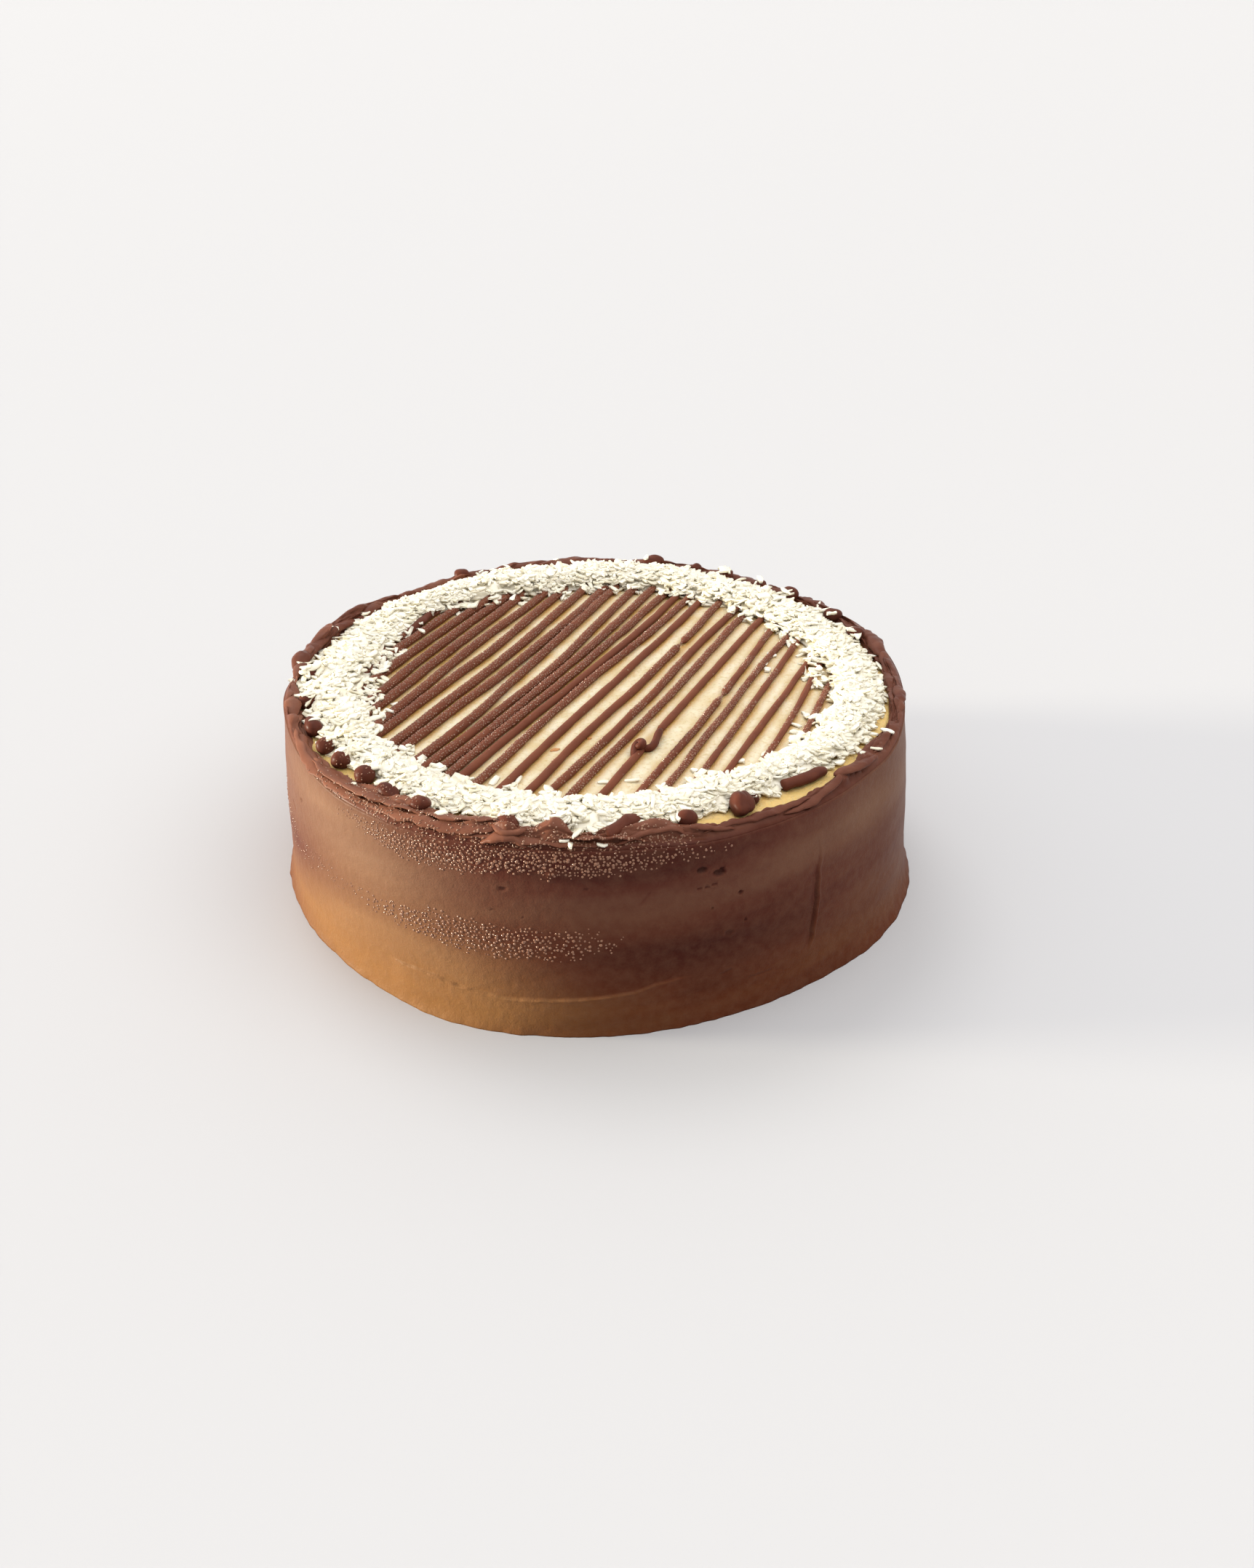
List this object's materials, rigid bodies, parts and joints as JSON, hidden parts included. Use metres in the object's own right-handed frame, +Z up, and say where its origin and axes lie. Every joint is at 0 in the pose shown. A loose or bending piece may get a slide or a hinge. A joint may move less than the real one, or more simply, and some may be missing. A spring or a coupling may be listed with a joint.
{
  "type": "cheesecake",
  "caption": "Whole round cheesecake with a spread chocolate coat, piped chocolate stripes over a pale top and a wreath of coconut flakes inside a ragged rim.",
  "frame": {"origin": "middle of the base, on the surface that the cake stands on", "axes": "+Z up through the cake's middle; -Y towards the side that the picture shows in front; +X to that side's right"},
  "size_m": [0.2545, 0.2538, 0.0826],
  "materials": {
    "cream": "smooth, pale yellow",
    "chocolate": "soft milk chocolate cream with a satin gloss",
    "coconut": "dry ivory flakes"
  },
  "bodies": {
    "root": {"cheesecake": "cream", "chocolate_coat": "chocolate", "coconut": "coconut"}
  },
  "joints": []
}
